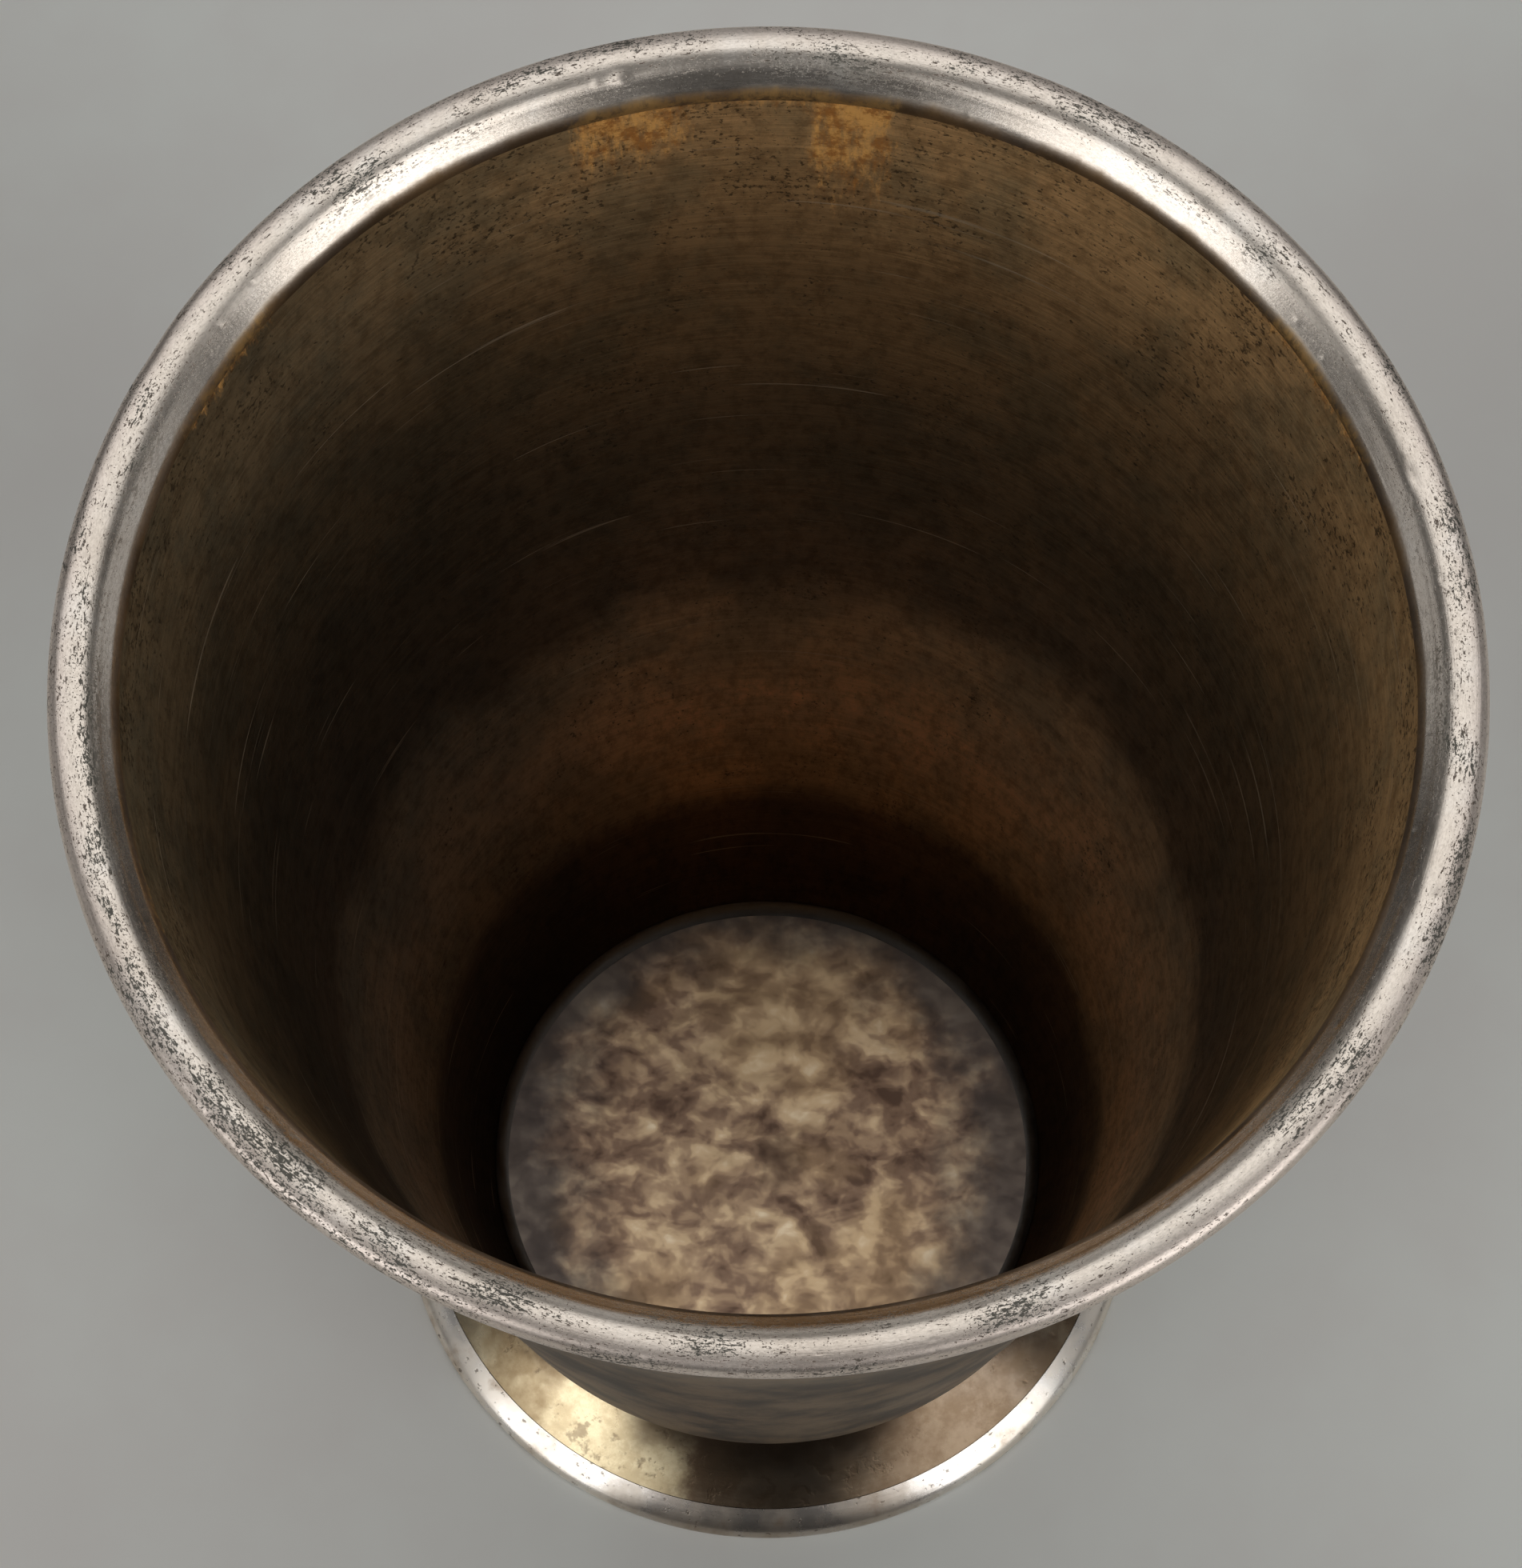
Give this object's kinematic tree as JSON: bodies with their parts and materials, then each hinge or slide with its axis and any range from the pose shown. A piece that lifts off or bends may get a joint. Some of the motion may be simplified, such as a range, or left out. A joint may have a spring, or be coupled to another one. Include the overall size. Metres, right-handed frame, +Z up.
{
  "type": "communion chalice",
  "caption": "Tapered silver communion cup with a heavy everted lip, a flat let-in floor, a worn gilt inside and a low hollow spreading foot.",
  "frame": {"origin": "centre of the flat ring that the cup stands on", "axes": "+Z up along the axis that every piece is turned about, towards the mouth"},
  "size_m": [0.08, 0.08, 0.094],
  "materials": {
    "worn_silver": "worn silver, pitted and finely scratched",
    "worn_gilt": "worn and tarnished gilding over silver",
    "floor_silver": "mottled tarnished silver",
    "tarnished_silver": "polished silver with a yellow tarnish",
    "solder": "grey hard solder"
  },
  "bodies": {
    "root": {"rim_wire": "worn_silver", "bowl_wall": "worn_gilt", "bowl_floor": "floor_silver", "floor_solder_fillet": "solder", "foot_shell": "tarnished_silver", "foot_solder_fillet": "solder", "base_ring": "worn_silver"}
  },
  "joints": []
}
